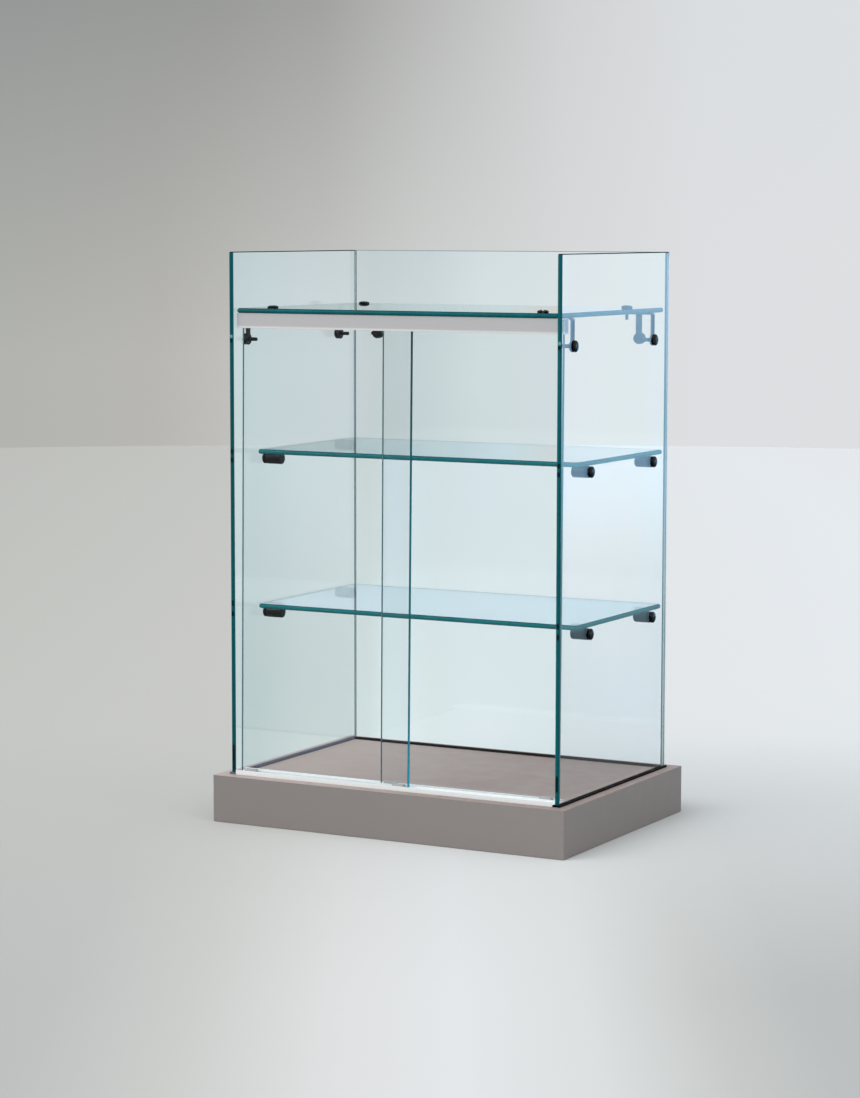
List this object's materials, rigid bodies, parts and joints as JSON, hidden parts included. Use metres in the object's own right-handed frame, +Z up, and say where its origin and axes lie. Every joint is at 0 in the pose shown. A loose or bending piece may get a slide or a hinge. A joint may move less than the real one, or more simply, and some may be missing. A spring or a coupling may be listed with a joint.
{
  "type": "countertop display showcase",
  "caption": "Glass display showcase with a board plinth, loose glass shelves on pegs and glass doors that slide sideways in aluminium tracks.",
  "frame": {"origin": "plan centre of the plinth, on the plane it rests on", "axes": "+Z up; +X to the right when facing the sliding doors; +Y from the doors to the back pane"},
  "size_m": [0.5, 0.35, 0.728],
  "materials": {
    "taupe_lacquer": "satin taupe lacquer on board",
    "clear_glass": "polished, teal at the edges",
    "anodised_aluminium": "matt anodised",
    "gasket_rubber": "matt black",
    "black_steel": "satin black",
    "black_fastener": "gloss black",
    "zinc_steel": "zinc plated",
    "glide_plastic": "moulded grey"
  },
  "bodies": {
    "case": {"plinth_front_board": "taupe_lacquer", "plinth_right_board": "taupe_lacquer", "plinth_back_board": "taupe_lacquer", "plinth_left_board": "taupe_lacquer", "plinth_deck": "taupe_lacquer", "left_gasket": "gasket_rubber", "right_gasket": "gasket_rubber", "back_gasket": "gasket_rubber", "left_side_glass": "clear_glass", "right_side_glass": "clear_glass", "back_glass": "clear_glass", "top_glass": "clear_glass", "bottom_track": "anodised_aluminium", "header_track": "anodised_aluminium", "track_screw_left": "zinc_steel", "track_screw_middle": "zinc_steel", "track_screw_right": "zinc_steel", "bracket_front_left": "black_steel", "bracket_front_right": "black_steel", "bracket_back_left": "black_steel", "bracket_back_right": "black_steel", "top_bolt_front_left": "black_fastener", "top_bolt_front_right": "black_fastener", "top_bolt_back_left": "black_fastener", "top_bolt_back_right": "black_fastener", "bracket_screw_front_left": "black_fastener", "bracket_screw_front_right": "black_fastener", "bracket_screw_back_left": "black_fastener", "bracket_screw_back_right": "black_fastener", "back_pane_screw_left": "black_fastener", "back_pane_screw_right": "black_fastener", "peg_middle_front_left": "black_steel", "peg_middle_front_right": "black_steel", "peg_middle_back_left": "black_steel", "peg_middle_back_right": "black_steel", "peg_lower_front_left": "black_steel", "peg_lower_front_right": "black_steel", "peg_lower_back_left": "black_steel", "peg_lower_back_right": "black_steel", "peg_screw_middle_front_left": "black_fastener", "peg_screw_middle_front_right": "black_fastener", "peg_screw_middle_back_left": "black_fastener", "peg_screw_middle_back_right": "black_fastener", "peg_screw_lower_front_left": "black_fastener", "peg_screw_lower_front_right": "black_fastener", "peg_screw_lower_back_left": "black_fastener", "peg_screw_lower_back_right": "black_fastener"},
    "left_door": {"left_door": "clear_glass", "left_door_glide_left": "glide_plastic", "left_door_glide_right": "glide_plastic"},
    "right_door": {"right_door": "clear_glass", "right_door_glide_left": "glide_plastic", "right_door_glide_right": "glide_plastic"},
    "middle_shelf": {"middle_shelf": "clear_glass"},
    "lower_shelf": {"lower_shelf": "clear_glass"}
  },
  "joints": [
    {"name": "left_door_slide", "type": "slide", "parent": "case", "child": "left_door", "axis": [1, 0, 0], "range_m": [-0.0075, 0.2035]},
    {"name": "right_door_slide", "type": "slide", "parent": "case", "child": "right_door", "axis": [-1, 0, 0], "range_m": [-0.0045, 0.2065]},
    {"name": "middle_shelf_lift", "type": "slide", "parent": "case", "child": "middle_shelf", "axis": [0, 0, 1], "range_m": [0, 0.06]},
    {"name": "lower_shelf_lift", "type": "slide", "parent": "case", "child": "lower_shelf", "axis": [0, 0, 1], "range_m": [0, 0.06]}
  ]
}
